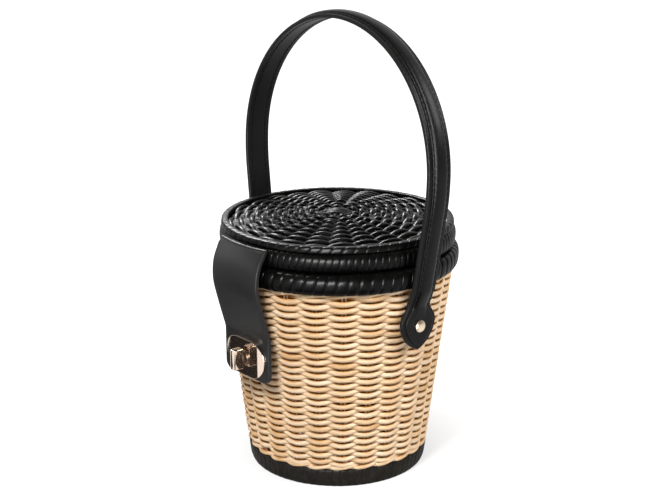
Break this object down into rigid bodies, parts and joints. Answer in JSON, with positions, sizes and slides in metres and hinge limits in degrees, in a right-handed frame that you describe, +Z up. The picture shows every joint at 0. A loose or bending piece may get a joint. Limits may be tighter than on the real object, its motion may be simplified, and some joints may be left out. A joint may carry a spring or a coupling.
{
  "type": "wicker bucket bag",
  "caption": "Tapered woven bucket bag with a hinged woven lid, a leather strap with a turn lock and one leather carrying handle.",
  "frame": {"origin": "middle of the base, on the surface the bag stands on", "axes": "+Z up; -Y towards the closing strap at the front; +X towards the right handle rivet; lid hinge at +Y"},
  "size_m": [0.2246, 0.2024, 0.3582],
  "materials": {
    "wicker_natural": "natural peeled reed, satin",
    "rattan_black": "dyed black, glossy lacquer",
    "leather_black": "smooth black leather, satin, painted edges",
    "rose_gold": "polished pale rose gold plating"
  },
  "bodies": {
    "basket": {"basket_wall": "wicker_natural", "basket_base": "wicker_natural", "foot_band": "rattan_black", "basket_rim": "rattan_black", "basket_hinge_leaf": "leather_black", "lock_keeper": "rose_gold", "keeper_backing": "rose_gold", "rivet_right": "rose_gold", "rivet_left": "rose_gold", "rivet_bush_right": "rose_gold", "rivet_bush_left": "rose_gold", "rivet_washer_right": "rose_gold", "rivet_washer_left": "rose_gold"},
    "lid": {"lid_panel": "rattan_black", "lid_band": "rattan_black", "lid_bead": "rattan_black", "lid_hinge_leaf": "leather_black", "closing_strap": "leather_black", "lock_plate": "rose_gold", "lock_backing": "rose_gold"},
    "turn_knob": {"lock_knob": "rose_gold"},
    "handle": {"handle_strap": "leather_black", "handle_cover": "leather_black"}
  },
  "joints": [
    {"name": "lid_hinge", "type": "hinge", "parent": "basket", "child": "lid", "pos_m": [0, 0.097, 0.1788], "axis": [-1, 0, 0], "range_deg": [0, 55]},
    {"name": "knob_turn", "type": "hinge", "parent": "lid", "child": "turn_knob", "pos_m": [0, -0.091, 0.104], "axis": [0, -1, 0], "range_deg": [0, 90]},
    {"name": "handle_swing", "type": "hinge", "parent": "basket", "child": "handle", "pos_m": [0, 0, 0.133], "axis": [1, 0, 0], "range_deg": [-110, 110]}
  ]
}
